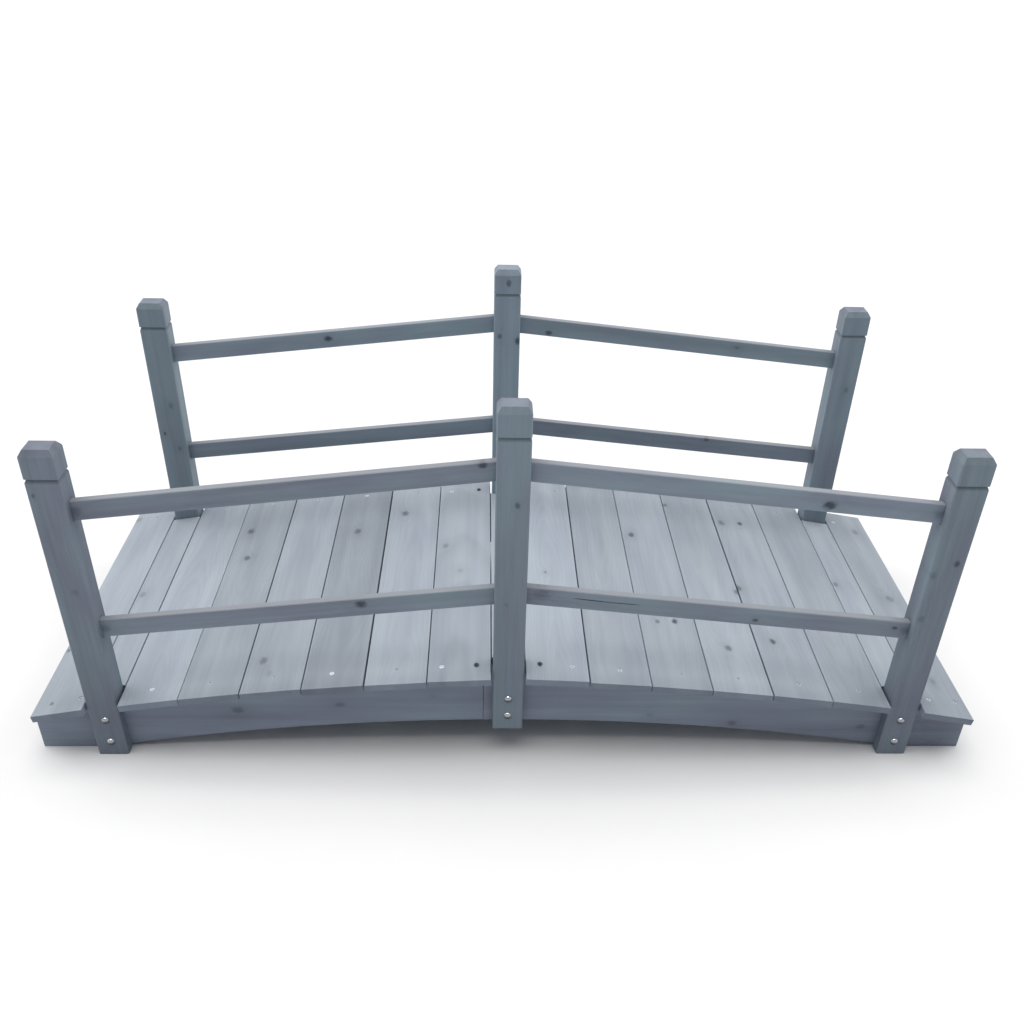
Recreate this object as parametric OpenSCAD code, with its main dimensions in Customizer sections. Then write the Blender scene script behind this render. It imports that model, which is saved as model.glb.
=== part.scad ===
// Arched timber garden bridge: two stringers arched underneath, a boarded deck,
// six posts with chamfered and grooved heads, and eight sloping rails.
// The origin is on the ground under the middle, X runs along the span and Y across the deck.

/* [Deck] */
// Length of the full boards, across the bridge
deck_w = 600; // [420:2:1000]
// Number of full boards on each slope
boards_per_slope = 6; // [4:1:8]
// Width of a full deck board
board_w = 96; // [70:1:120]
// Width of the two boards next to the middle posts
mid_board_w = 99; // [70:1:120]
// Thickness of the deck boards
board_t = 12; // [10:0.5:20]
// Width of the eased arrises along the top of a board
board_ease = 1; // [0.5:0.1:2.5]
// Gap between neighbouring boards
board_gap = 1.6; // [0.5:0.1:6]
// Width of the board beyond each end post
end_board_w = 84; // [60:1:130]
// Gap from a post to a board that is fitted up to it
fitted_gap = 3; // [3:0.5:10]
// Gap left between an end post and the last full board
last_gap = 6; // [3:0.5:10]
// Gap from a filler strip to the timbers beside it
strip_gap = 1; // [0.5:0.1:2.5]
// Overhang of the boards past the outer face of a stringer
side_overhang = 29; // [10:1:40]

/* [Stringers] */
// Thickness of a stringer
stringer_t = 28; // [20:1:45]
// Depth of a stringer at mid span
stringer_h = 101.5; // [90:0.5:160]
// Rise of the arch under a stringer
arch_rise = 61; // [30:1:90]
// How far a stringer stands out past the end of the deck
stringer_reach = 9; // [0:1:20]
// Length of the flat foot at each end of a stringer
foot_len = 103; // [60:1:130]
// Tilt of the deck where its two slopes meet at mid span, in degrees
crown_tilt = 2; // [1:0.1:5]
// Radius of the bowed top edge on each slope
top_radius = 4950; // [4000:50:15000]
// Distance of the butt joint in a stringer from mid span
joint_x = 39; // [32:1:80]
// Gap in the butt joint
joint_gap = 0.6; // [0.2:0.1:0.9]

/* [Splice blocks] */
// Length of the block behind a butt joint
splice_l = 220; // [160:5:320]
// Height of the block
splice_h = 66; // [56:1:72]
// Thickness of the block
splice_t = 20; // [12:1:30]

/* [Posts] */
// Width of a post along the span
post_w = 48; // [40:1:60]
// Depth of a post across the bridge
post_d = 38; // [32:1:60]
// Width of the eased arrises down the corners of a post
post_ease = 1.5; // [0.5:0.1:3]
// Height of the end posts above the ground
post_h = 564; // [450:0.5:900]
// How much higher the heads of the middle posts are
mid_post_rise = 71; // [40:1:110]
// Thickness of post left outside the stringer where it laps over it
post_lap = 17.5; // [14:0.5:24]
// How far a middle post hangs below the arch
mid_post_tail = 3; // [0:0.5:10]
// Height of the head above its groove
head_h = 43.5; // [30:0.5:60]
// Height of the chamfer round the top of the head
head_chamfer = 9.5; // [4:0.5:14]
// How far in the chamfer runs, so that it is steeper than a mitre
head_run = 6; // [3:0.5:12]
// Height of the groove under the head
groove_h = 7; // [4:0.5:12]
// Depth of the groove
groove_d = 3.5; // [1:0.5:6]

/* [Rails] */
// Height of a rail
rail_h = 32; // [24:1:50]
// Thickness of a rail
rail_t = 12; // [10:1:20]
// Width of the eased arrises along a rail
rail_ease = 1.2; // [0.5:0.1:2.5]
// From the top of a post down to the top edge of the upper rail
top_rail_drop = 86; // [80:1:140]
// From the top of a post down to the top edge of the lower rail
low_rail_drop = 296; // [200:1:320]
// Depth of the mortises that the rails are let into
mortise_d = 12; // [6:0.5:16]

/* [Bolts] */
// Diameter of the bolts through a post and its stringer
bolt_d = 6; // [5:1:10]
// Height of the lower bolt above the foot of its post
bolt_low = 28.5; // [24:0.5:40]
// Distance between the two bolts of an end post
end_bolt_pitch = 47; // [24:1:50]
// Distance between the two bolts of a middle post
mid_bolt_pitch = 35.5; // [24:0.5:50]

/* [Fits] */
// Clearance between timbers that lie on or against each other
seat_fit = 0.2; // [0.1:0.05:0.5]
// Clearance round a rail in its mortise
rail_fit = 0.6; // [0.2:0.05:0.9]
// Clearance round a bolt in its hole
bolt_fit = 0.3; // [0.1:0.05:0.6]

/* [Hidden] */
timber = [0.42, 0.46, 0.50];
deck_timber = [0.62, 0.65, 0.69];
// Segments of the shallow arcs, fine enough for their long radii
arc_fn = 1440;
hole_fn = 48;
// How far each board was fixed off the true line, counted outwards from the middle
left_slip = [-1.5, -2.5, -2, -1, 0, 0.5];
right_slip = [0, -2.5, -3, -3, -2.5, -2];
end_slip = [2.5, -3];
// How far outwards each board was laid off its place along the deck, as a share of the gap
left_shift = [0, -0.25, 0.3, 0.2, 0.3, -0.3];
right_shift = [-0.1, 0.1, -0.25, -0.35, 0.2, 0.1];
// How far the outer and the inner end of each rail were let in off the true line,
// in the order front left, front right, back left, back right
top_rail_set = [[-3, 1.5], [1.5, 1], [-1.5, -1], [0, -2]];
low_rail_set = [[-3, -4], [-2, -3], [2.5, 1], [3, 0]];

// The bowed top edge of a slope is an arc, and a place on it is given by the length s along it
crown_z = arch_rise + stringer_h;
bow_x = -top_radius * sin(crown_tilt);
bow_z = crown_z - top_radius * cos(crown_tilt);
function bow_tilt(s) = s / top_radius * 180 / PI;
function bow_at_x(x) = top_radius * asin((x - bow_x) / top_radius) * PI / 180;
function bow_point(s) = [bow_x + top_radius * sin(bow_tilt(s)), bow_z + top_radius * cos(bow_tilt(s))];

// Boards are set out along the bow from the middle post to the end post, and on to the end of the deck
first_s = bow_at_x(post_w / 2 + fitted_gap);
board_pitch = board_w + board_gap;
second_s = first_s + mid_board_w + board_gap;
function board_s(i) = i == 1 ? first_s + mid_board_w / 2 : second_s + board_w / 2 + (i - 2) * board_pitch;
function width_of(i) = i == 1 ? mid_board_w : board_w;
last_s = board_s(boards_per_slope) + board_w / 2;
post_x = bow_point(last_s)[0] + last_gap + post_w / 2;
end_board_s = bow_at_x(post_x + post_w / 2 + fitted_gap) + end_board_w / 2;
deck_end_x = bow_point(end_board_s + end_board_w / 2)[0];
mid_strip_w = post_w + 2 * (fitted_gap - strip_gap);
end_strip_w = post_w + last_gap + fitted_gap - 2 * strip_gap;
end_strip_s = bow_at_x(post_x - (last_gap - fitted_gap) / 2);

stringer_end_x = deck_end_x + stringer_reach;
stringer_y = deck_w / 2 - side_overhang;
stringer_in_y = stringer_y - stringer_t;
arch_half = stringer_end_x - foot_len;
arch_radius = (arch_half ^ 2 + arch_rise ^ 2) / (2 * arch_rise);

post_y = stringer_y + post_lap - post_d / 2;
mid_post_foot = arch_rise - mid_post_tail;
strip_l = 2 * (post_y - post_d / 2 - strip_gap);

// A rail keeps about the same drop below the heads of its two posts, so it slopes as the heads do
rail_in = post_w / 2 - mortise_d;
rail_out = post_x - post_w / 2 + mortise_d;
rail_mid = (rail_in + rail_out) / 2;
top_rails = 0;
low_rails = 1;
function bay(side, dir) = (side < 0 ? 0 : 2) + (dir < 0 ? 0 : 1);
function rail_set(level) = level == top_rails ? top_rail_set : low_rail_set;
function rail_drop(level) = level == top_rails ? top_rail_drop : low_rail_drop;
function rail_ends(side, dir, level) =
    rail_set(level)[bay(side, dir)] + [0, mid_post_rise] - rail_drop(level) * [1, 1];
function rail_rise(ends) = ends[1] - ends[0];
function rail_top(x, ends) = post_h + ends[1] - rail_rise(ends) * x / post_x;
function rail_tilt(ends) = atan(rail_rise(ends) / post_x);
function rail_upright(ends) = rail_h / cos(rail_tilt(ends));

// Stands a drawing of the side view upright between two places across the bridge
module across(y0, y1) {
    translate([0, y1, 0])
        rotate([90, 0, 0])
            linear_extrude(y1 - y0)
                children();
}

// Stands a drawing of the end view upright between two places along the span
module along(x0, x1) {
    translate([x0, 0, 0])
        rotate([90, 0, 90])
            linear_extrude(x1 - x0)
                children();
}

// Rectangle about its middle with all four corners eased
module eased_section(w, h, ease) {
    x = w / 2;
    y = h / 2;
    polygon([
        [x - ease, -y], [x, ease - y], [x, y - ease], [x - ease, y],
        [ease - x, y], [-x, y - ease], [-x, ease - y], [ease - x, -y]
    ]);
}

// Side view of everything below the two bowed slopes, raised by a clearance
module below_bow(x0, x1, floor_z, raise) {
    intersection() {
        translate([bow_x, bow_z]) rotate(-crown_tilt) circle(top_radius + raise, $fn = arc_fn);
        translate([-bow_x, bow_z]) rotate(crown_tilt) circle(top_radius + raise, $fn = arc_fn);
        translate([x0, floor_z]) square([x1 - x0, 2 * crown_z]);
    }
}

// The two bolt holes of one post, right through the post, its stringer and any block behind
module bolt_holes(x, side, foot_z, pitch) {
    reach = post_lap + stringer_t + splice_t;
    for (z = [foot_z + bolt_low, foot_z + bolt_low + pitch])
        translate([x, side * stringer_y, z])
            rotate([90, 0, 0])
                cylinder(h = 2 * reach, d = bolt_d + 2 * bolt_fit, center = true, $fn = hole_fn);
}

module all_bolt_holes(side) {
    bolt_holes(0, side, mid_post_foot, mid_bolt_pitch);
    for (dir = [-1, 1])
        bolt_holes(dir * post_x, side, 0, end_bolt_pitch);
}

// Part of a stringer between two places along the span, arched underneath and drilled for the posts
module stringer(side, x0, x1) {
    y = [side * stringer_y, side * stringer_in_y];
    color(timber)
        difference() {
            across(min(y), max(y))
                difference() {
                    below_bow(x0, x1, 0, 0);
                    translate([0, arch_rise - arch_radius]) circle(arch_radius, $fn = arc_fn);
                }
            all_bolt_holes(side);
        }
}

module stringer_left(side) {
    stringer(side, -stringer_end_x, -joint_x - joint_gap / 2);
}

module stringer_right(side) {
    stringer(side, -joint_x + joint_gap / 2, stringer_end_x);
}

// Block on the inner faces behind the butt joint, which the bolts of the middle post also hold
module splice_block(side) {
    y = side * (stringer_in_y - seat_fit - splice_t / 2);
    color(timber)
        difference() {
            translate([-joint_x, y, arch_rise + stringer_h / 2])
                cube([splice_l, splice_t, splice_h], center = true);
            bolt_holes(0, side, mid_post_foot, mid_bolt_pitch);
        }
}

// Outline of a post that is w wide, with its chamfered head and the groove below it
module post_outline(w, foot_z, top_z) {
    half = w / 2;
    lip = top_z - head_h;
    right = [
        [half, foot_z],
        [half, lip - groove_h],
        [half - groove_d, lip],
        [half, lip],
        [half, top_z - head_chamfer],
        [half - head_run, top_z]
    ];
    last = len(right) - 1;
    polygon(concat(right, [for (i = [last : -1 : 0]) [-right[i][0], right[i][1]]]));
}

// Side view of a rail, grown by its clearance, cut out of the posts as the mortises
module rail_mortise(side, dir, level) {
    ends = rail_ends(side, dir, level);
    x0 = rail_in - rail_fit;
    x1 = rail_out + rail_fit;
    half = rail_t / 2 + rail_fit;
    below = rail_upright(ends) + rail_fit;
    across(side * post_y - half, side * post_y + half)
        polygon([
            [dir * x0, rail_top(x0, ends) + rail_fit],
            [dir * x1, rail_top(x1, ends) + rail_fit],
            [dir * x1, rail_top(x1, ends) - below],
            [dir * x0, rail_top(x0, ends) - below]
        ]);
}

// Bar with eased arrises laid to the slope, with its ends sawn upright
module rail(side, dir, level) {
    ends = rail_ends(side, dir, level);
    bar_l = rail_out - rail_in + 2 * rail_h;
    color(timber)
        intersection() {
            translate([dir * rail_mid, side * post_y, rail_top(rail_mid, ends) - rail_upright(ends) / 2])
                rotate([0, dir * rail_tilt(ends), 0])
                    along(-bar_l / 2, bar_l / 2)
                        eased_section(rail_t, rail_h, rail_ease);
            translate([dir * rail_mid, side * post_y, post_h / 2])
                cube([rail_out - rail_in, 2 * rail_t, 2 * post_h], center = true);
        }
}

// Post notched over the stringer, with its shoulder on the stringer's top edge, mortised and drilled
module post(x, side, foot_z, top_z, bolt_pitch) {
    lap = [side * (stringer_y + seat_fit), side * (post_y - post_d)];
    color(timber)
        difference() {
            intersection() {
                translate([x, 0, 0])
                    across(side * post_y - post_d, side * post_y + post_d)
                        post_outline(post_w, foot_z, top_z);
                translate([0, side * post_y, 0])
                    along(x - post_w, x + post_w)
                        post_outline(post_d, foot_z, top_z);
                translate([x, side * post_y, foot_z])
                    linear_extrude(top_z - foot_z)
                        eased_section(post_w, post_d, post_ease);
            }
            across(min(lap), max(lap))
                below_bow(x - post_w, x + post_w, -post_w, seat_fit);
            for (dir = [-1, 1], level = [top_rails, low_rails])
                rail_mortise(side, dir, level);
            bolt_holes(x, side, foot_z, bolt_pitch);
        }
}

module end_post(side, dir) {
    post(dir * post_x, side, 0, post_h, end_bolt_pitch);
}

module middle_post(side) {
    post(0, side, mid_post_foot, post_h + mid_post_rise, mid_bolt_pitch);
}

// Plank lying on its underside, w wide and l long, with eased arrises on top
module flat_plank(w, l) {
    color(deck_timber)
        across(-l / 2, l / 2)
            polygon([
                [-w / 2, 0], [w / 2, 0], [w / 2, board_t - board_ease], [w / 2 - board_ease, board_t],
                [board_ease - w / 2, board_t], [-w / 2, board_t - board_ease]
            ]);
}

// Plank laid at the place s on the bow of one slope
module laid_plank(dir, s, w, l, slip) {
    place = bow_point(s);
    translate([dir * place[0], slip, place[1]])
        rotate([0, dir * bow_tilt(s), 0])
            translate([0, 0, seat_fit])
                flat_plank(w, l);
}

module left_board(i) {
    n = (i - 1) % len(left_slip);
    laid_plank(-1, board_s(i) + left_shift[n] * board_gap, width_of(i), deck_w, left_slip[n]);
}

module right_board(i) {
    n = (i - 1) % len(right_slip);
    laid_plank(1, board_s(i) + right_shift[n] * board_gap, width_of(i), deck_w, right_slip[n]);
}

module end_board(dir) {
    laid_plank(dir, end_board_s, end_board_w, deck_w, dir < 0 ? end_slip[0] : end_slip[1]);
}

module end_strip(dir) {
    laid_plank(dir, end_strip_s, end_strip_w, strip_l, 0);
}

// Level strip on the crown between the middle posts
module middle_strip() {
    translate([0, 0, crown_z + seat_fit])
        flat_plank(mid_strip_w, strip_l);
}

stringer_left(-1);  // front_stringer_left
stringer_right(-1);  // front_stringer_right
stringer_left(1);  // back_stringer_left
stringer_right(1);  // back_stringer_right
splice_block(-1);  // front_splice_block
splice_block(1);  // back_splice_block
end_post(-1, -1);  // front_left_post
middle_post(-1);  // front_middle_post
end_post(-1, 1);  // front_right_post
end_post(1, -1);  // back_left_post
middle_post(1);  // back_middle_post
end_post(1, 1);  // back_right_post
rail(-1, -1, top_rails);  // front_left_top_rail
rail(-1, 1, top_rails);  // front_right_top_rail
rail(-1, -1, low_rails);  // front_left_low_rail
rail(-1, 1, low_rails);  // front_right_low_rail
rail(1, -1, top_rails);  // back_left_top_rail
rail(1, 1, top_rails);  // back_right_top_rail
rail(1, -1, low_rails);  // back_left_low_rail
rail(1, 1, low_rails);  // back_right_low_rail
end_strip(-1);  // left_end_strip
middle_strip();
end_strip(1);  // right_end_strip
end_board(-1);  // left_end_board
end_board(1);  // right_end_board
for (i = [1 : boards_per_slope]) {
    left_board(i);
    right_board(i);
}
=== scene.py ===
from math import radians

import bpy
from mathutils import Matrix, Vector


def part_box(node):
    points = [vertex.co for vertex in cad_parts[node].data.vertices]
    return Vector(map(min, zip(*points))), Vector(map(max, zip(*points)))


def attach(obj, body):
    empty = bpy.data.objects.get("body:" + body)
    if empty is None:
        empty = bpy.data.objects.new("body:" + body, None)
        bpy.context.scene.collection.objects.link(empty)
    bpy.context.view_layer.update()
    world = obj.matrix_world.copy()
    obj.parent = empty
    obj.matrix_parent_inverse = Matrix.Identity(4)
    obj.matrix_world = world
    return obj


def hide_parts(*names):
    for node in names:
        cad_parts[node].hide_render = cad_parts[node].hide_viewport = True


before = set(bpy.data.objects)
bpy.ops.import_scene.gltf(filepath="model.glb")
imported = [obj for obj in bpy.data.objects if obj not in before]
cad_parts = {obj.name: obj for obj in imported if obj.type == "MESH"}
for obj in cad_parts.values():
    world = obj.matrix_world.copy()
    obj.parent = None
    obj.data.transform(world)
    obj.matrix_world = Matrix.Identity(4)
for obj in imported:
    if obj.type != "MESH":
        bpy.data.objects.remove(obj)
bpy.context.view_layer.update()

# Stringers: four arched softwood planks on edge, butted in pairs a little left of the middle.
# They are brushed with a thin blue-grey stain, which lets the growth rings and knots show through.
# The posts are bolted to them, and the deck boards are screwed down on their bowed top edges.


def place_node(tree, kind, feeds, **settings):
    """Adds a node, sets it up, and links or fills each of the inputs that are fed."""
    node = tree.nodes.new(kind)
    for name, value in settings.items():
        setattr(node, name, value)
    for name, value in feeds.items():
        if isinstance(value, bpy.types.NodeSocket):
            tree.links.new(value, node.inputs[name])
        else:
            node.inputs[name].default_value = value
    return node


def maths(tree, operation, *feeds):
    feeds = dict(enumerate(feeds))
    return place_node(tree, "ShaderNodeMath", feeds, operation=operation).outputs[0]


def vector_maths(tree, operation, *feeds):
    feeds = dict(enumerate(feeds))
    return place_node(tree, "ShaderNodeVectorMath", feeds, operation=operation).outputs[0]


def brighten(tree, colour, factor):
    feeds = {0: colour, "Scale": factor}
    return place_node(tree, "ShaderNodeVectorMath", feeds, operation="SCALE").outputs[0]


def blend(tree, share, first, second):
    """Mixes two colours, which a Mix node takes at its inputs 6 and 7 and gives at its output 2."""
    feeds = {0: share, 6: first, 7: second}
    return place_node(tree, "ShaderNodeMix", feeds, data_type="RGBA").outputs[2]


def fade(tree, value, start, end):
    feeds = {"Value": value, "From Min": start, "From Max": end}
    return place_node(tree, "ShaderNodeMapRange", feeds, interpolation_type="SMOOTHSTEP").outputs[0]


def stretched_noise(tree, vector, stretch, detail):
    vector = vector_maths(tree, "MULTIPLY", vector, stretch)
    return place_node(tree, "ShaderNodeTexNoise", {"Vector": vector, "Scale": 1.0, "Detail": detail}).outputs


def swing(tree, noise, width):
    """Turns a noise between 0 and 1 into one that swings about zero."""
    return maths(tree, "MULTIPLY_ADD", noise, width, -width / 2)


def sum_of_squares(tree, *sides):
    first, second = [maths(tree, "MULTIPLY", side, side) for side in sides]
    return maths(tree, "ADD", first, second)


def split_vector(tree, vector):
    return place_node(tree, "ShaderNodeSeparateXYZ", {0: vector}).outputs


def split_colour(tree, colour):
    return place_node(tree, "ShaderNodeSeparateColor", {0: colour}).outputs


def attribute(tree, name):
    return place_node(tree, "ShaderNodeAttribute", {}, attribute_name=name).outputs


def start_group(name, takes, gives):
    group = bpy.data.node_groups.new(name, "ShaderNodeTree")
    for label, kind in takes.items():
        group.interface.new_socket(label, in_out="INPUT", socket_type="NodeSocket" + kind)
    for label, kind in gives.items():
        group.interface.new_socket(label, in_out="OUTPUT", socket_type="NodeSocket" + kind)
    take = group.nodes.new("NodeGroupInput").outputs
    give = group.nodes.new("NodeGroupOutput").inputs
    return group, take, give


# One knot: the stub of a branch that crosses the timber, with the rings swelling round it.
# It is longer along the grain than across it, and distances from it are counted in its radius.
knot, take, give = start_group(
    "knot",
    {"Grain": "Vector", "Place": "Color", "Darkness": "Float"},
    {"Swell": "Float", "Core": "Float"},
)
width_to_length = 0.72
ragged_edge = 0.9
swell_falloff = -0.16
core_rim, core_middle = 1.15, 0.3
spot = split_vector(knot, take["Grain"])
centre = split_colour(knot, take["Place"])
ragged = stretched_noise(knot, take["Grain"], (150, 240, 240), 3.0)[0]
off_along = maths(knot, "DIVIDE", maths(knot, "SUBTRACT", spot[0], centre[0]), centre[2])
off_across = maths(knot, "DIVIDE", maths(knot, "SUBTRACT", spot[1], centre[1]), centre[2])
off_along = maths(knot, "MULTIPLY", off_along, width_to_length)
squares = sum_of_squares(knot, off_along, off_across)
away = maths(knot, "ADD", maths(knot, "SQRT", squares), swing(knot, ragged, ragged_edge))
swell = maths(knot, "EXPONENT", maths(knot, "MULTIPLY", squares, swell_falloff))
core = maths(knot, "MULTIPLY", fade(knot, away, core_rim, core_middle), take["Darkness"])
knot.links.new(swell, give["Swell"])
knot.links.new(core, give["Core"])

# Growth rings round a pith that wanders below the face, with the fibres and streaks along them.
# The log's number shifts all of its patterns, so that no two timbers are alike.
growth, take, give = start_group(
    "growth_rings",
    {"Grain": "Vector", "Log": "Color", "Swell": "Float", "Ring Width": "Float"},
    {"Latewood": "Float", "Fibre": "Float", "Streak": "Float", "Cloud": "Float"},
)
number_steps = (7.3, 3.1, 5.7)
wander_across = 0.06
wander_through = 0.03
knot_bulge = 0.007
number, pith_slope, pith_depth = split_colour(growth, take["Log"])
shifts = {axis: maths(growth, "MULTIPLY", number, step) for axis, step in enumerate(number_steps)}
shift = place_node(growth, "ShaderNodeCombineXYZ", shifts).outputs[0]
own_spot = vector_maths(growth, "ADD", take["Grain"], shift)
spot = split_vector(growth, take["Grain"])
wander = split_colour(growth, stretched_noise(growth, own_spot, (3.2, 9, 9), 2.0)["Color"])
off_across = maths(growth, "ADD", spot[1], swing(growth, wander[0], wander_across))
pith = maths(growth, "MULTIPLY_ADD", spot[0], pith_slope, pith_depth)
off_through = maths(growth, "ADD", spot[2], pith)
off_through = maths(growth, "ADD", off_through, swing(growth, wander[1], wander_through))
radius = maths(growth, "SQRT", sum_of_squares(growth, off_across, off_through))
radius = maths(growth, "MULTIPLY_ADD", take["Swell"], knot_bulge, radius)
season = maths(growth, "FRACT", maths(growth, "DIVIDE", radius, take["Ring Width"]))
darkening, ending = fade(growth, season, 0.1, 0.75), fade(growth, season, 1.0, 0.8)
growth.links.new(maths(growth, "MULTIPLY", darkening, ending), give["Latewood"])
for label, stretch, detail in (
    ("Fibre", (11, 620, 620), 3.0),
    ("Streak", (1.7, 58, 58), 3.0),
    ("Cloud", (5, 19, 19), 2.0),
):
    growth.links.new(stretched_noise(growth, own_spot, stretch, detail)[0], give[label])

# Thin stain over that grain: it soaks in unevenly, and dries darker on end cuts and in knots. The darker cut
# tint is also painted shade, on the post heads' chamfers and most on the deck boards' upright ends.
# It rubs paler on the arrises, and the top faces are mixed towards a lighter grey as painted light.
stain, take, give = start_group(
    "thin_stain",
    {
        "Pale": "Color",
        "Deep": "Color",
        "Cut Tint": "Color",
        "Uneven": "Float",
        "Lean": "Float",
        "Tone": "Float",
        "Bleach": "Float",
        "Latewood": "Float",
        "Figure": "Float",
        "Fibre": "Float",
        "Streak": "Float",
        "Cloud": "Float",
        "Swell": "Float",
        "Core": "Float",
        "Arris": "Float",
        "End Cut": "Float",
    },
    {"Color": "Color", "Roughness": "Float", "Height": "Float"},
)
painted_light_grey = (0.256, 0.268, 0.283, 1)
knot_tint = (0.22, 0.23, 0.27)
matt = 0.52
lean = maths(stain, "ADD", take["Cloud"], take["Lean"])
tint = blend(stain, fade(stain, lean, 0.3, 0.7), take["Deep"], take["Pale"])
value = maths(stain, "ADD", take["Tone"], 1.0)
for label, weight in (("Streak", 0.26), ("Cloud", 0.2), ("Fibre", 0.1)):
    value = maths(stain, "MULTIPLY_ADD", swing(stain, take[label], weight), take["Uneven"], value)
figured = maths(stain, "MULTIPLY", take["Latewood"], take["Figure"])
# Swell darkens the rings round knots, and also the wide patches, some of which are painted shade.
for mask, weight in ((figured, -0.1), (take["Swell"], -0.1), (take["Arris"], 0.06)):
    value = maths(stain, "MULTIPLY_ADD", mask, weight, value)
# Painted light: the top faces are mixed towards a lighter grey.
coat = blend(stain, take["Bleach"], brighten(stain, tint, value), painted_light_grey)
# The cut tint is stain soaked into end grain and painted shade together.
soaked_and_painted_shade = vector_maths(stain, "MULTIPLY", coat, take["Cut Tint"])
coat = blend(stain, take["End Cut"], coat, soaked_and_painted_shade)
dark_knot = vector_maths(stain, "MULTIPLY", coat, knot_tint)
coat = blend(stain, take["Core"], coat, dark_knot)
rough = matt
for label, weight in (("Fibre", 0.22), ("Core", -0.1)):
    rough = maths(stain, "MULTIPLY_ADD", take[label], weight, rough)
height = 0.0
for label, weight in (("Latewood", 0.3), ("Fibre", 0.6), ("Core", -0.5)):
    height = maths(stain, "MULTIPLY_ADD", take[label], weight, height)
stain.links.new(coat, give["Color"])
stain.links.new(rough, give["Roughness"])
stain.links.new(height, give["Height"])

KNOTS_A_PIECE = 4
# A face looks in a direction when its normal has at least this much of it
SQUARE_ON = 0.9


def stained_timber(name, pale, deep, cut_tint, uneven):
    """Makes a stained material that takes each timber's grain, log and knots from its mesh."""
    worn_from, worn_to = 0.0055, 0.002
    ragged_wear = 0.004
    material = bpy.data.materials.new(name)
    material.use_nodes = True
    tree = material.node_tree
    shader = tree.nodes["Principled BSDF"]
    shader.inputs["Specular IOR Level"].default_value = 0.3
    grain = attribute(tree, "grain")["Vector"]
    log = attribute(tree, "log")
    swell, core = 0.0, 0.0
    for n in range(KNOTS_A_PIECE):
        held = attribute(tree, f"knot_{n + 1}")
        feeds = {"Grain": grain, "Place": held["Color"], "Darkness": held["Alpha"]}
        mark = place_node(tree, "ShaderNodeGroup", feeds, node_tree=knot).outputs
        swell = maths(tree, "MAXIMUM", swell, mark["Swell"])
        core = maths(tree, "MAXIMUM", core, mark["Core"])
    ring = attribute(tree, "ring")["Fac"]
    feeds = {"Grain": grain, "Log": log["Color"], "Swell": swell, "Ring Width": ring}
    rings = place_node(tree, "ShaderNodeGroup", feeds, node_tree=growth).outputs
    # An arris is where both the edge across the grain and the edge through it are near
    inside = vector_maths(tree, "ABSOLUTE", grain)
    inside = vector_maths(tree, "SUBTRACT", attribute(tree, "section")["Vector"], inside)
    inside = split_vector(tree, inside)
    from_arris = maths(tree, "ADD", inside[1], inside[2])
    from_arris = maths(tree, "MULTIPLY_ADD", rings["Fibre"], ragged_wear, from_arris)
    feeds = {
        "Pale": (*pale, 1),
        "Deep": (*deep, 1),
        "Cut Tint": (*cut_tint, 1),
        "Uneven": uneven,
        "Tone": log["Alpha"],
        "Swell": swell,
        "Core": core,
        "Arris": fade(tree, from_arris, worn_from, worn_to),
    }
    for label in ("Latewood", "Fibre", "Streak", "Cloud"):
        feeds[label] = rings[label]
    for label in ("Figure", "Lean", "Bleach", "End Cut"):
        feeds[label] = attribute(tree, label.lower().replace(" ", "_"))["Fac"]
    coat = place_node(tree, "ShaderNodeGroup", feeds, node_tree=stain).outputs
    feeds = {"Strength": 0.5, "Distance": 0.0004, "Height": coat["Height"]}
    relief = place_node(tree, "ShaderNodeBump", feeds).outputs[0]
    tree.links.new(coat["Color"], shader.inputs["Base Color"])
    tree.links.new(coat["Roughness"], shader.inputs["Roughness"])
    tree.links.new(relief, shader.inputs["Normal"])
    return material


def select_only(piece):
    bpy.ops.object.select_all(action="DESELECT")
    piece.select_set(True)
    bpy.context.view_layer.objects.active = piece


def copy_of(node):
    """Copies a CAD node's mesh into a timber of its own, with its loose triangles merged."""
    piece = bpy.data.objects.new("timber_" + node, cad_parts[node].data.copy())
    piece.data.materials.clear()
    bpy.context.collection.objects.link(piece)
    select_only(piece)
    bpy.ops.object.mode_set(mode="EDIT")
    bpy.ops.mesh.select_all(action="SELECT")
    bpy.ops.mesh.remove_doubles(threshold=0.00001)
    bpy.ops.mesh.dissolve_limited(angle_limit=radians(0.2))
    bpy.ops.object.mode_set(mode="OBJECT")
    return piece


def ease_arrises(piece, width):
    ease = piece.modifiers.new("ease", "BEVEL")
    ease.width = width
    ease.segments = 2
    ease.limit_method = "ANGLE"
    ease.angle_limit = radians(20)
    bpy.ops.object.modifier_apply(modifier="ease")
    bpy.ops.object.shade_smooth_by_angle(angle=radians(12))


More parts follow.
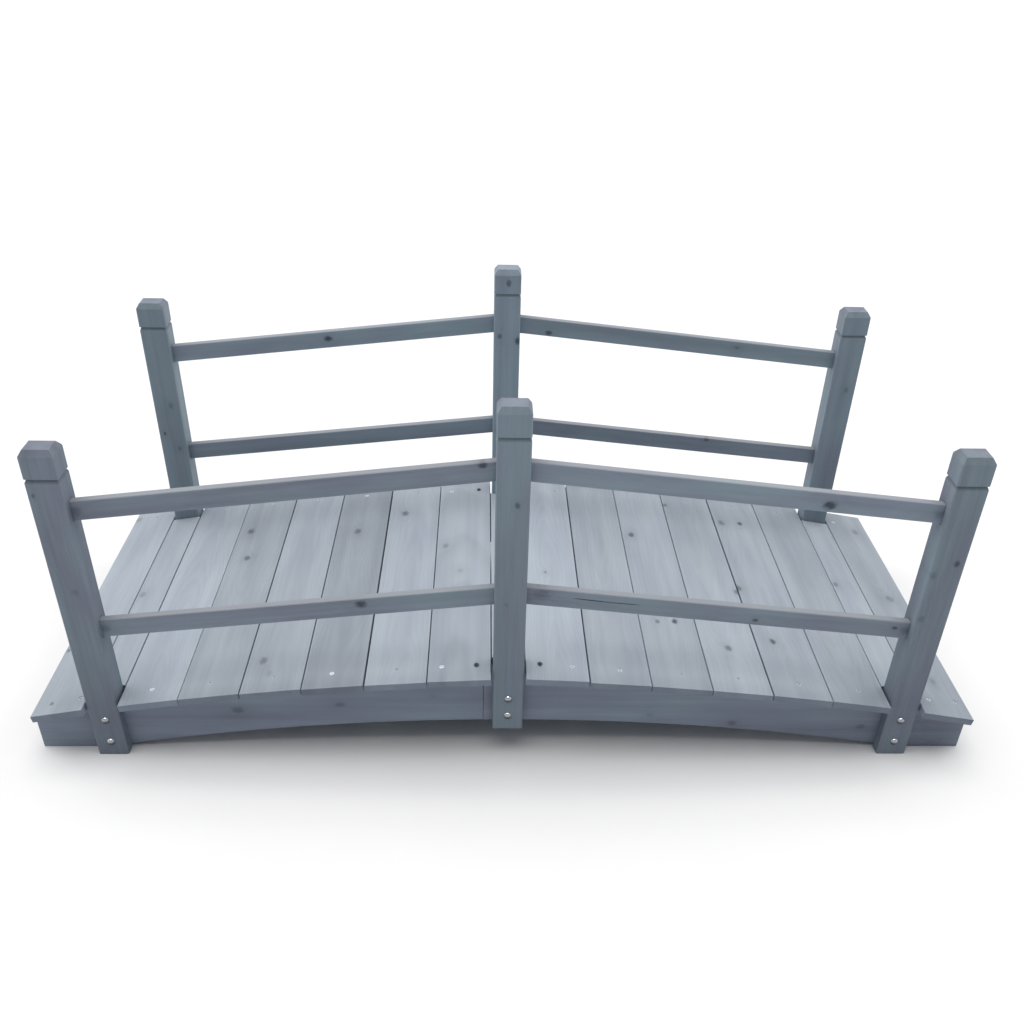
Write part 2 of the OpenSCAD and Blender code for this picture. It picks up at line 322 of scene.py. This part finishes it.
def lay_grain(
    piece, middle, along, across, log, knots, worn, figure=0.35, ring=0.0042, lean=(0.0, 0.0), bleach=0.0
):
    """Writes on the mesh the timber's own measure along, across and through the grain, and its looks.

    worn says if the arrises are rubbed, figure how strongly the rings show, and ring how wide they are.
    lean is how far the tint leans to the pale one on upright faces and on top ones, a difference that paints
    the light's colour on the tops; the last argument mixes the top faces alone towards a lighter grey, as
    painted light.
    """
    top_facing = 0.7
    sloped_end = 0.35
    square_end_share = 0.6
    far_off = 9.0
    mesh = piece.data
    along, across = Vector(along), Vector(across)
    through = along.cross(across)
    spots = [v.co - Vector(middle) for v in mesh.vertices]
    places = [(s.dot(along), s.dot(across), s.dot(through)) for s in spots]
    section = [max(abs(p[k]) for p in places) if worn else far_off for k in range(3)]
    knots = [(k[0] / 1000, k[1] / 1000, k[2] / 1000, k[3]) for k in knots]
    knots += [(far_off, far_off, 0.001, 0.0)] * (KNOTS_A_PIECE - len(knots))
    grain = mesh.attributes.new("grain", "FLOAT_VECTOR", "POINT")
    grain.data.foreach_set("vector", [c for p in places for c in p])
    size = mesh.attributes.new("section", "FLOAT_VECTOR", "POINT")
    size.data.foreach_set("vector", section * len(places))
    for name, colour in [("log", log)] + [(f"knot_{n + 1}", k) for n, k in enumerate(knots)]:
        held = mesh.attributes.new(name, "FLOAT_COLOR", "POINT")
        held.data.foreach_set("color", list(colour) * len(places))
    for name, value in (("figure", figure), ("ring", ring)):
        held = mesh.attributes.new(name, "FLOAT", "POINT")
        held.data.foreach_set("value", [value] * len(places))
    on_top = [f.normal.z > top_facing for f in mesh.polygons]
    # Sloped end cuts drink the most stain, square ones a little less, and the long faces none of the extra;
    # the tint this gives them is also painted shade.
    endwise = [abs(f.normal.dot(along)) for f in mesh.polygons]
    soak_and_painted_shade = [square_end_share if n > SQUARE_ON else float(n > sloped_end) for n in endwise]
    for name, values in (
        ("lean", [lean[top] for top in on_top]),
        ("bleach", [bleach * top for top in on_top]),
        ("end_cut", soak_and_painted_shade),
    ):
        held = mesh.attributes.new(name, "FLOAT", "FACE")
        held.data.foreach_set("value", values)


def finish_timber(piece, node, material):
    piece.data.materials.append(material)
    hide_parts(node)
    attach(piece, "root")


# Its cut tint darkens the chamfers on the post heads, as soaked end grain and as painted shade.
frame_timber = stained_timber(
    "frame_timber",
    pale=(0.164, 0.216, 0.260),
    deep=(0.172, 0.199, 0.261),
    cut_tint=(0.84, 0.83, 0.83),
    uneven=2.2,
)

# Each log: its number, how steeply its pith runs out, how deep the pith lies, and its tone.
# Each knot: how far along and across the timber it is and its radius, in mm, and how dark it is.
# A wide, faint knot stands for a soft darker patch. Low on the front posts such a patch is painted shade, and
# at the front rails' outer ends it is painted shade of the mortise gaps together with stain pooled there.
for node, log, knots in (
    (
        "front_stringer_left",
        (0.11, 0.010, 0.045, 0.1),
        [(-434, 81, 9, 0.5), (-270, 93, 7, 0.4), (-120, 112, 6, 0.2)],
    ),
    (
        "front_stringer_right",
        (0.37, -0.012, 0.050, 0.1),
        [(370, 53, 7, 0.5), (587, 45, 7, 0.4), (233, 71, 6, 0.25), (720, 45, 46, 0.22)],
    ),
    ("back_stringer_left", (0.53, -0.010, 0.048, 0.1), [(-350, 70, 8, 0.5)]),
    ("back_stringer_right", (0.79, 0.013, 0.052, 0.08), [(210, 96, 7, 0.5), (520, 40, 6, 0.4)]),
):
    low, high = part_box(node)
    middle = (0, (low.y + high.y) / 2, 0)
    piece = copy_of(node)
    ease_arrises(piece, width=0.0008)
    lay_grain(piece, middle, (1, 0, 0), (0, 0, 1), log, knots, worn=False, lean=(-0.14, -0.14))
    finish_timber(piece, node, frame_timber)

# Splice blocks: short offcuts of the same stock, one behind each butt joint.
# They lie against the inner faces of the stringers, and the middle post's bolts pass through them.
for node, log in (
    ("front_splice_block", (0.23, 0.020, 0.030, -0.06)),
    ("back_splice_block", (0.67, -0.018, 0.034, -0.05)),
):
    low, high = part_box(node)
    piece = copy_of(node)
    ease_arrises(piece, width=0.0008)
    lay_grain(piece, (low + high) / 2, (1, 0, 0), (0, 0, 1), log, knots=[], worn=True)
    finish_timber(piece, node, frame_timber)

# Posts: six lengths of planed 48 by 38 mm softwood, with the head chamfered all round above a saw-cut groove.
# Each is notched over its stringer and bolted to it, and mortised for the rails.
# Each lean is how far the tint of the upright faces leans to the pale one, and the tops lean less: a painted
# difference in the light's colour on them.
top_painted_tint = -0.2
# Painted light: the back posts, the middle one most, are toned lighter and the outer front posts darker, to
# even out the light on their fronts; the wide faint knots low on the front posts are painted shade.
for node, log, lean, knots in (
    (
        "front_left_post",
        (1.13, 0.016, 0.022, -0.08),
        -0.02,
        [(495, -16, 3, 0.6), (330, 6, 5, 0.2), (90, 0, 110, 0.05)],
    ),
    (
        "front_middle_post",
        (1.31, -0.012, 0.026, 0.0),
        0.04,
        [(484, 7, 5, 0.7), (310, -6, 4, 0.25), (190, 0, 80, 0.0)],
    ),
    (
        "front_right_post",
        (1.57, 0.014, 0.020, -0.07),
        0.02,
        [(389, 11, 5, 0.8), (367, -19, 6, 0.3), (286, -17, 6, 0.3), (90, 0, 110, 0.05)],
    ),
    (
        "back_left_post",
        (1.71, -0.015, 0.024, 0.05),
        0.14,
        [(304, -13, 3, 0.9), (271, 10, 4, 0.4), (363, 8, 6, 0.35)],
    ),
    (
        "back_middle_post",
        (1.93, 0.011, 0.021, 0.32),
        0.12,
        [(511, -13, 5, 0.6), (503, 20, 7, 0.9), (612, 2, 6, 0.7)],
    ),
    ("back_right_post", (2.11, -0.013, 0.025, 0.03), 0.1, [(410, 7, 5, 0.4)]),
):
    low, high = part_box(node)
    middle = ((low.x + high.x) / 2, (low.y + high.y) / 2, 0)
    piece = copy_of(node)
    ease_arrises(piece, width=0.0005)
    lay_grain(piece, middle, (0, 0, 1), (1, 0, 0), log, knots, worn=True, lean=(lean, lean + top_painted_tint))
    finish_timber(piece, node, frame_timber)

# Rails: eight straight battens with eased arrises, stained like the posts, and with painted light on their
# tops, which are made lighter and greyer.
# Their upright-sawn ends are let into mortises, so they slope up to the middle posts on both sides.
# One has split as it dried, in two cracks that nearly meet.


def upper_face(piece):
    return max((f for f in piece.data.polygons if f.normal.z > SQUARE_ON), key=lambda f: f.area)


def lined_up(along, normal):
    """Turns X to a direction on a face, and Z to the face's normal."""
    return Matrix((along, normal.cross(along), normal)).transposed().to_4x4()


def set_in_place(piece, matrix):
    """Moves a piece and keeps the move in its mesh."""
    piece.matrix_world = matrix
    select_only(piece)
    bpy.ops.object.transform_apply(location=True, rotation=True, scale=True)


def cut_out(piece, cutter):
    cut = piece.modifiers.new("cut", "BOOLEAN")
    cut.operation = "DIFFERENCE"
    cut.solver = "EXACT"
    cut.object = cutter
    select_only(piece)
    bpy.ops.object.modifier_apply(modifier="cut")
    bpy.data.objects.remove(cutter, do_unlink=True)


def drying_split(piece, start, end, normal, width):
    """Cuts a crack into a face, from a flattened cone that closes at both ends and towards its tip."""
    depth = 0.004
    run = end - start
    bpy.ops.object.select_all(action="DESELECT")
    bpy.ops.mesh.primitive_cone_add(vertices=16, radius1=0.4, radius2=1, depth=2)
    crack = bpy.context.object
    size = Matrix.Diagonal((run.length / 2, width / 2, depth, 1))
    set_in_place(crack, Matrix.Translation((start + end) / 2) @ lined_up(run.normalized(), normal) @ size)
    cut_out(piece, crack)


# The faint knots at the front rails' outer ends are painted shade of the mortise gaps, together with stain
# pooled there.
# Each split: where it starts and ends along the rail, then across it, and how wide it gapes, in mm
for node, log, knots, splits in (
    ("front_left_top_rail", (2.37, 0.010, 0.020, 0.0), [(281, 11, 6, 0.9), (-294, 0, 9, 0.35)], []),
    ("front_left_low_rail", (2.53, -0.012, 0.018, 0.02), [(98, 6, 8, 0.95), (-294, 0, 9, 0.35)], []),
    ("front_right_top_rail", (2.71, 0.009, 0.022, 0.13), [(131, -4, 9, 1.0), (294, 0, 9, 0.35)], []),
    (
        "front_right_low_rail",
        (2.97, -0.011, 0.019, 0.02),
        [(56, -6, 4, 0.8), (275, 3, 4, 0.9), (-276, 6, 12, 0.4), (294, 0, 9, 0.35)],
        [(-242, -150, 3.6, 1.2, 3.0), (-192, -112, 1.6, 2.4, 2.4)],
    ),
    ("back_left_top_rail", (3.13, 0.012, 0.021, 0.2), [(-8, 2, 6.5, 1.0)], []),
    ("back_left_low_rail", (3.31, -0.010, 0.020, 0.06), [], []),
    ("back_right_top_rail", (3.59, 0.011, 0.018, 0.1), [(110, 4, 4, 0.4), (-243, -9, 6, 0.85)], []),
    ("back_right_low_rail", (3.77, -0.009, 0.022, 0.06), [(76, 12, 5, 0.6)], []),
):
    low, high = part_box(node)
    middle = (low + high) / 2
    front = Vector((middle.x, low.y, middle.z))
    piece = copy_of(node)
    across = upper_face(piece).normal.copy()
    along = Vector((0, 1, 0)).cross(across)
    for start_along, end_along, start_across, end_across, width in splits:
        start = front + along * (start_along / 1000) + across * (start_across / 1000)
        end = front + along * (end_along / 1000) + across * (end_across / 1000)
        drying_split(piece, start, end, Vector((0, -1, 0)), width / 1000)
    ease_arrises(piece, width=0.0003)
    side_lean = 0.1 if node.startswith("back") else -0.04
    # Painted light colour: the tops lean to the deep tint, and are mixed halfway towards a lighter grey.
    lay_grain(piece, middle, along, across, log, knots, worn=True, lean=(side_lean, -0.2), bleach=0.5)
    finish_timber(piece, node, frame_timber)

# Deck boards: fourteen planed softwood boards laid across the stringers, and three strips between the posts.
# They are flat sawn, so the rings run out in long flames, and the stain is thinner and paler on them.
# Its cut tint makes the boards' upright ends much darker and bluer: soaked end grain, and painted shade with
# the cooler light of upright faces.
deck_timber = stained_timber(
    "deck_timber",
    pale=(0.261, 0.303, 0.357),
    deep=(0.243, 0.284, 0.345),
    cut_tint=(0.40, 0.46, 0.54),
    uneven=1.0,
)


def countersink(piece, heads, across, normal):
    """Cuts a conical seat for each screw head, down to the depth that the head is sunk to."""
    tip_radius = 0.0004
    seat_radius = 0.0042
    seat_depth = 0.0044
    widening = 0.3
    proud = 0.0002
    for place, sunk, _ in heads:
        radius, depth = seat_radius + sunk * widening, seat_depth + sunk
        bpy.ops.object.select_all(action="DESELECT")
        bpy.ops.mesh.primitive_cone_add(vertices=24, radius1=tip_radius, radius2=radius, depth=depth)
        cone = bpy.context.object
        centre = place - normal * (depth / 2 - proud)
        set_in_place(cone, Matrix.Translation(centre) @ lined_up(across, normal))
        cut_out(piece, cone)


# Each board has one or two screws over each stringer, and the strips have none.
# Each screw: how far along and across the board it is and how deep its head is sunk, in mm,
# and how much stain covers it.
screws = []
for node, log, figure, knots, holes in (
    (
        "left_end_board",
        (4.13, 0.045, 0.030, 0.03),
        0.3,
        [(-275, -15, 4.5, 0.7), (-141, -36, 4.5, 0.6), (268, -35, 7, 0.35), (-255, 5, 60, 0.08)],
        [(-271, 31, 0.8, 0.8), (266, 4, 0.15, 0.9)],
    ),
    ("left_end_strip", (4.37, -0.030, 0.030, -0.03), 0.3, [(-2, -17, 7, 0.35)], []),
    (
        "left_board_6",
        (4.51, 0.050, 0.028, 0.06),
        0.4,
        [(230, 0, 80, 0.0)],
        [(-268, 0, 0.3, 0.0), (266, 3, 0.15, 0.9)],
    ),
    (
        "left_board_5",
        (4.73, -0.040, 0.034, -0.15),
        0.3,
        [(169, -25, 8, 0.7), (77, -14, 7, 0.7)],
        [(-266, -3, 0.15, 0.95), (267, 2, 0.15, 0.9)],
    ),
    (
        "left_board_4",
        (4.97, 0.036, 0.040, -0.04),
        0.3,
        [(-224, -23, 8, 0.5), (-256, -8, 6, 0.2), (-240, 5, 80, 0.0)],
        [(-266, 2, 0.15, 0.95), (266, -2, 0.15, 0.9)],
    ),
    (
        "left_board_3",
        (5.17, -0.050, 0.026, -0.22),
        0.35,
        [(138, -7, 8, 0.6)],
        [(-266, -4, 0.3, 0.0), (268, -2, 0.3, 0.1)],
    ),
    (
        "left_board_2",
        (5.39, 0.042, 0.038, -0.01),
        0.35,
        [(191, -18, 8, 0.7)],
        [(-266, 0, 0.15, 0.95), (266, 3, 0.15, 0.9)],
    ),
    (
        "left_board_1",
        (5.53, 0.22, 0.0772, -0.02),
        0.9,
        [(71, -33, 7, 0.4), (-9, -4, 6, 0.2), (-264, 27, 5, 1.0), (268, 27, 5, 1.0)],
        [(-265, -28, 0.3, 0.05), (-264, 27, 2.0, 0.7), (266, -28, 0.3, 0.1), (268, 27, 1.8, 0.7)],
    ),
    ("middle_strip", (5.71, 0.030, 0.030, 0.02), 0.3, [], []),
    (
        "right_board_1",
        (5.97, 0.046, 0.030, 0.05),
        0.4,
        [(-15, -6, 3.5, 0.5), (-263, -27, 5, 1.0)],
        [(-265, 25, 0.3, 0.45), (-263, -27, 2.0, 0.7), (265, -27, 0.8, 0.7), (266, 26, 0.15, 0.9)],
    ),
    ("right_board_2", (6.13, -0.044, 0.036, -0.09), 0.35, [], [(-266, 1, 0.3, 0.6), (266, -3, 0.15, 0.9)]),
    (
        "right_board_3",
        (6.29, 0.038, 0.030, 0.0),
        0.35,
        [(127, -30, 7, 0.8), (-135, -17, 5, 0.6), (-131, 13, 6, 1.0), (-240, 0, 80, 0.0)],
        [(-266, 3, 0.15, 0.95), (266, 0, 0.15, 0.9)],
    ),
    (
        "right_board_4",
        (6.47, -0.052, 0.032, -0.02),
        0.35,
        [(-191, -3, 7, 0.7), (247, -44, 6, 0.6), (-30, 46, 7, 0.6), (240, 0, 80, 0.0)],
        [(-266, -2, 0.15, 0.95), (267, 2, 0.15, 0.9)],
    ),
    (
        "right_board_5",
        (6.71, 0.040, 0.028, -0.07),
        0.35,
        [(206, 5, 6, 0.9), (202, -34, 8, 0.55), (-163, -18, 6.5, 0.9), (-18, -46, 8, 0.65)],
        [(-266, 0, 0.15, 0.95), (266, 2, 0.15, 0.9)],
    ),
    ("right_board_6", (6.91, -0.036, 0.034, -0.12), 0.35, [], [(-266, 3, 0.15, 0.95), (266, -1, 0.15, 0.9)]),
    ("right_end_strip", (7.13, 0.034, 0.030, -0.06), 0.3, [(30, -21, 6, 0.5)], []),
    (
        "right_end_board",
        (7.31, -0.046, 0.030, -0.14),
        0.35,
        [(238, 14, 8, 0.4), (12, 9, 9, 0.4), (-216, 4, 6, 0.3)],
        [(-262, 25, 0.8, 0.8), (-264, -23, 0.4, 0.6), (265, -25, 0.3, 0.2)],
    ),
):
    low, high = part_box(node)
    middle = (low + high) / 2
    piece = copy_of(node)
    normal = upper_face(piece).normal.copy()
    across = Vector((0, 1, 0)).cross(normal)
    top = middle + normal * max((v.co - middle).dot(normal) for v in piece.data.vertices)
    heads = [
        (top + Vector((0, y / 1000, 0)) + across * (x / 1000), sunk / 1000, stained)
        for y, x, sunk, stained in holes
    ]
    countersink(piece, heads, across, normal)
    screws += [(node, place, across, normal, sunk, stained) for place, sunk, stained in heads]
    ease_arrises(piece, width=0.0004)
    # The board left of the middle was cut near the bark, so its rings run out in broad flames
    ring = 0.033 if node == "left_board_1" else 0.0052
    lay_grain(piece, middle, (0, 1, 0), across, log, knots, worn=True, figure=figure, ring=ring)
    finish_timber(piece, node, deck_timber)

# Bolts: twelve zinc-plated carriage bolts, two through each post and its stringer.
# Their domed heads lie on the outer faces of the posts, painted darker underneath and brighter on top as
# painted shade and painted highlight.
# Washers and nuts draw them up on the inner faces of the stringers and splice blocks.
zinc_steel = bpy.data.materials.new("zinc_steel")
zinc_steel.use_nodes = True
tree = zinc_steel.node_tree
shader = tree.nodes["Principled BSDF"]
bright_zinc = (0.72, 0.76, 0.82, 1)
dull_zinc = (0.61, 0.65, 0.71, 1)
pale_stain = (0.282, 0.325, 0.380, 1)
deep_stain = (0.255, 0.294, 0.346, 1)
darkest_painted_shade = 0.02
patchy_rough = 0.16
spot = place_node(tree, "ShaderNodeTexCoord", {}).outputs["Object"]
bloom = stretched_noise(tree, spot, (900, 900, 900), 3.0)[0]
# Each steel piece holds how much stain covers it, how rough it is, and a brightness that scales its colour.
# The brightness and the dark underside coat paint shade and highlight on the bolt heads, and shade on the
# deep-sunk screws.
stain_and_painted_shade, rough, tone_and_painted_light = split_colour(tree, attribute(tree, "steel")["Color"])
zinc = blend(tree, fade(tree, bloom, 0.35, 0.65), bright_zinc, dull_zinc)
smear_and_painted_shade_base = blend(tree, fade(tree, bloom, 0.3, 0.7), pale_stain, deep_stain)
tone_and_painted_light = maths(tree, "MAXIMUM", tone_and_painted_light, darkest_painted_shade)
coat = brighten(tree, blend(tree, stain_and_painted_shade, zinc, smear_and_painted_shade_base), tone_and_painted_light)
tree.links.new(coat, shader.inputs["Base Color"])
tree.links.new(fade(tree, stain_and_painted_shade, 1.0, 0.0), shader.inputs["Metallic"])
tree.links.new(maths(tree, "MULTIPLY_ADD", bloom, patchy_rough, rough), shader.inputs["Roughness"])


def finish_steel(piece, under, over):
    """Sets how stained, rough and bright a piece is at its underside and at its top; on the bolt heads the
    darker, stained underside and brighter top are painted shade and painted highlight.
    """
    select_only(piece)
    bpy.ops.object.shade_smooth_by_angle(angle=radians(35))
    heights = [v.co.z for v in piece.data.vertices]
    low, span = min(heights), max(heights) - min(heights)
    looks = [Vector(under).lerp(Vector(over), (z - low) / span) for z in heights]
    held = piece.data.attributes.new("steel", "FLOAT_COLOR", "POINT")
    held.data.foreach_set("color", [c for look in looks for c in (*look, 1.0)])
    piece.data.materials.clear()
    piece.data.materials.append(zinc_steel)
    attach(piece, "root")


def pick_faces(piece, wanted):
    """In edit mode, selects just the faces that the test wants."""
    bpy.ops.mesh.select_all(action="DESELECT")
    bpy.ops.object.mode_set(mode="OBJECT")
    for face in piece.data.polygons:
        face.select = wanted(face)
    bpy.ops.object.mode_set(mode="EDIT")
    bpy.ops.mesh.select_mode(type="FACE")


def draw_out(*move):
    """Extrudes the faces that are selected."""
    bpy.ops.mesh.extrude_region_move(TRANSFORM_OT_translate={"value": move})


def copy_to(source, name, turn, shift):
    piece = source.copy()
    piece.data = source.data.copy()
    piece.name = name
    bpy.context.collection.objects.link(piece)
    set_in_place(piece, Matrix.Translation(shift) @ turn)
    return piece


washer_thick = 0.0012
nut_thick = 0.005


def carriage_bolt(name, grip):
    """A domed head on a short rim at the origin, and a shank along Y through the grip and nut to a stub."""
    head_radius = 0.0062
    dome_share = 0.68
    shank_radius = 0.0030
    off_middle = 0.0002
    rim = 0.0007
    seat_gap = 0.0001
    stub = 0.0033
    bpy.ops.object.select_all(action="DESELECT")
    bpy.ops.mesh.primitive_uv_sphere_add(
        segments=24,
        ring_count=16,
        radius=head_radius,
        rotation=(radians(90), 0, 0),
        scale=(1, 1, dome_share),
    )
    bolt = bpy.context.object
    bolt.name = name
    bpy.ops.object.transform_apply(location=True, rotation=True, scale=True)
    bpy.ops.object.mode_set(mode="EDIT")
    bpy.ops.mesh.select_all(action="SELECT")
    bpy.ops.mesh.bisect(plane_co=(0, -off_middle, 0), plane_no=(0, 1, 0), use_fill=True, clear_outer=True)
    pick_faces(bolt, lambda f: f.normal.y > SQUARE_ON)
    bpy.ops.transform.translate(value=(0, off_middle - rim - seat_gap, 0))
    draw_out(0, rim, 0)
    bpy.ops.mesh.inset(thickness=head_radius - shank_radius)
    draw_out(0, grip + washer_thick + nut_thick + stub, 0)
    bpy.ops.mesh.bevel(offset=0.0006, segments=1, affect="EDGES")
    bpy.ops.object.mode_set(mode="OBJECT")
    return bolt


def nut_and_washer(name):
    """A washer against the origin's plane and a hexagon nut on it, both facing along Y."""
    washer_radius = 0.0072
    nut_radius = 0.0058
    nut_middle = washer_thick + nut_thick / 2
    end_land = 0.0014
    end_recess = 0.0004
    flat = 0.99
    bpy.ops.object.select_all(action="DESELECT")
    bpy.ops.mesh.primitive_cylinder_add(
        vertices=32,
        radius=washer_radius,
        depth=washer_thick,
        location=(0, washer_thick / 2, 0),
        rotation=(radians(90), 0, 0),
    )
    nut = bpy.context.object
    nut.name = name
    bpy.ops.object.transform_apply(location=True, rotation=True, scale=True)
    bpy.ops.object.mode_set(mode="EDIT")
    bpy.ops.mesh.select_all(action="SELECT")
    bpy.ops.mesh.bevel(offset=0.0002, segments=1, affect="EDGES")
    bpy.ops.mesh.primitive_cylinder_add(
        vertices=6,
        radius=nut_radius,
        depth=nut_thick,
        location=(0, nut_middle, 0),
        rotation=(radians(90), 0, 0),
    )
    pick_faces(nut, lambda f: f.normal.y > flat and f.center.y > nut_middle)
    bpy.ops.mesh.bevel(offset=0.0006, segments=2, affect="EDGES")
    pick_faces(nut, lambda f: f.normal.y > flat and f.center.y > nut_middle)
    bpy.ops.mesh.inset(thickness=end_land)
    draw_out(0, -end_recess, 0)
    bpy.ops.object.mode_set(mode="OBJECT")
    return nut


# The bolt holes lie at these heights above the feet of the posts
low_hole = 0.0285
end_high_hole = 0.0755
middle_high_hole = 0.0640
# Painted shade and highlight: a bolt head is dark, stained and dull at its underside, and bright, smooth zinc
# at its top.
bolt_painted_shade_under, bolt_painted_light_over = (1.7, 0.5, -0.5), (-0.5, 0.16, 1.2)
nut_look = (0.0, 0.25, 0.8)
stringer_in_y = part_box("back_stringer_left")[0].y
block_in_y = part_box("back_splice_block")[0].y
post_out_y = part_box("back_left_post")[1].y
end_bolt = carriage_bolt("end_bolt", post_out_y - stringer_in_y)
middle_bolt = carriage_bolt("middle_bolt", post_out_y - block_in_y)
first_nut = nut_and_washer("nut")
for row, side, turn in (
    ("front", -1, Matrix.Identity(4)),
    ("back", 1, Matrix.Rotation(radians(180), 4, "Z")),
):
    for stand, first_bolt, inner_y, high_hole in (
        ("left", end_bolt, stringer_in_y, end_high_hole),
        ("middle", middle_bolt, block_in_y, middle_high_hole),
        ("right", end_bolt, stringer_in_y, end_high_hole),
    ):
        low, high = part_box(f"{row}_{stand}_post")
        for level, height in (("low", low_hole), ("high", high_hole)):
            x, z = (low.x + high.x) / 2, low.z + height
            bolt = copy_to(first_bolt, f"{row}_{stand}_{level}_bolt", turn, (x, side * post_out_y, z))
            finish_steel(bolt, bolt_painted_shade_under, bolt_painted_light_over)
            nut = copy_to(first_nut, f"{row}_{stand}_{level}_nut", turn, (x, side * inner_y, z))
            finish_steel(nut, nut_look, nut_look)
for pattern in (end_bolt, middle_bolt, first_nut):
    bpy.data.objects.remove(pattern, do_unlink=True)

# Screws: countersunk steel screws with a cross recess, driven through the deck boards into the stringers.
# Most were brushed over with the stain, some are still bright, and those next to the middle are sunk deep.
head_radius = 0.0039
head_rim = 0.0008
head_taper = 0.0024
neck_share = 0.46
shank_length = 0.026
slot_length, slot_width, slot_depth = 0.0046, 0.0011, 0.0015
bpy.ops.object.select_all(action="DESELECT")
bpy.ops.mesh.primitive_cylinder_add(
    vertices=24, radius=head_radius, depth=head_rim, location=(0, 0, -head_rim / 2)
)
screw = bpy.context.object
screw.name = "screw"
bpy.ops.object.transform_apply(location=True, rotation=True, scale=True)
bpy.ops.object.mode_set(mode="EDIT")
pick_faces(screw, lambda f: f.normal.z < -SQUARE_ON)
draw_out(0, 0, -head_taper)
bpy.ops.transform.resize(value=(neck_share, neck_share, 1))
draw_out(0, 0, -shank_length)
pick_faces(screw, lambda f: f.normal.z > SQUARE_ON)
bpy.ops.mesh.bevel(offset=0.0002, segments=1, affect="EDGES")
bpy.ops.object.mode_set(mode="OBJECT")
for length_x, length_y in ((slot_length, slot_width), (slot_width, slot_length)):
    bpy.ops.object.select_all(action="DESELECT")
    bpy.ops.mesh.primitive_cube_add(size=1, location=(0, 0, 0), scale=(length_x, length_y, slot_depth * 2))
    bpy.ops.object.transform_apply(location=True, rotation=True, scale=True)
    cut_out(screw, bpy.context.object)

# Each screw stopped at another turn, and the heads of those that are sunk deep are painted dark: painted
# shade in their holes.
turn_step = radians(37)
deep_sunk = 0.0015
deep_painted_shade = 0.12
for n, (node, place, across, normal, sunk, stained) in enumerate(screws):
    turn = lined_up(across, normal) @ Matrix.Rotation(turn_step * n, 4, "Z")
    head = copy_to(screw, f"{node}_screw_{n + 1}", turn, place - normal * sunk)
    look = (stained, 0.5, deep_painted_shade if sunk > deep_sunk else 1.0)
    finish_steel(head, look, look)
bpy.data.objects.remove(screw, do_unlink=True)

# Studio: a wide pale floor under a broad soft light from straight above.
# Weaker lights shine from both ends of the bridge, and the air past the floor's edge looks white.
# The camera stands in front of the middle and looks down at it.
bpy.ops.object.select_all(action="DESELECT")
bpy.ops.mesh.primitive_plane_add(size=80)
floor = bpy.context.object
floor.name = "floor"
pale_floor = bpy.data.materials.new("pale_floor")
pale_floor.use_nodes = True
surface = pale_floor.node_tree.nodes["Principled BSDF"].inputs
surface["Base Color"].default_value = (0.632, 0.652, 0.684, 1)
surface["Roughness"].default_value = 0.9
surface["Specular IOR Level"].default_value = 0.0
floor.data.materials.append(pale_floor)

for place, turn, energy, tint in (
    ((0, 0, 5), (-3, -4, 0), 3.3, (1.0, 0.95, 0.89)),
    ((-5, 0, 2.5), (0, -65, -15), 1.4, (1.0, 0.96, 0.91)),
    ((5, 0, 2.5), (0, 65, 15), 1.4, (1.0, 0.96, 0.91)),
):
    bpy.ops.object.light_add(type="SUN", location=place, rotation=[radians(angle) for angle in turn])
    light = bpy.context.object.data
    light.energy = energy
    light.color = tint
    light.angle = radians(60)

air_light = 0.32
white_to_camera = 0.73
bpy.context.scene.world = bpy.data.worlds.new("studio_air")
bpy.context.scene.world.use_nodes = True
tree = bpy.context.scene.world.node_tree
air = tree.nodes["Background"].inputs
air["Color"].default_value = (0.95, 0.98, 1.0, 1)
seen = place_node(tree, "ShaderNodeLightPath", {}).outputs["Is Camera Ray"]
tree.links.new(maths(tree, "MULTIPLY_ADD", seen, white_to_camera, air_light), air["Strength"])
bpy.context.scene.view_settings.view_transform = "Standard"

bpy.ops.object.camera_add(
    location=(-0.04151, -1.46890, 1.22808),
    rotation=(radians(57.440), radians(-1.205), radians(-1.195)),
)
camera = bpy.context.object
camera.data.sensor_width = 36
camera.data.lens = 35.251
bpy.context.scene.camera = camera
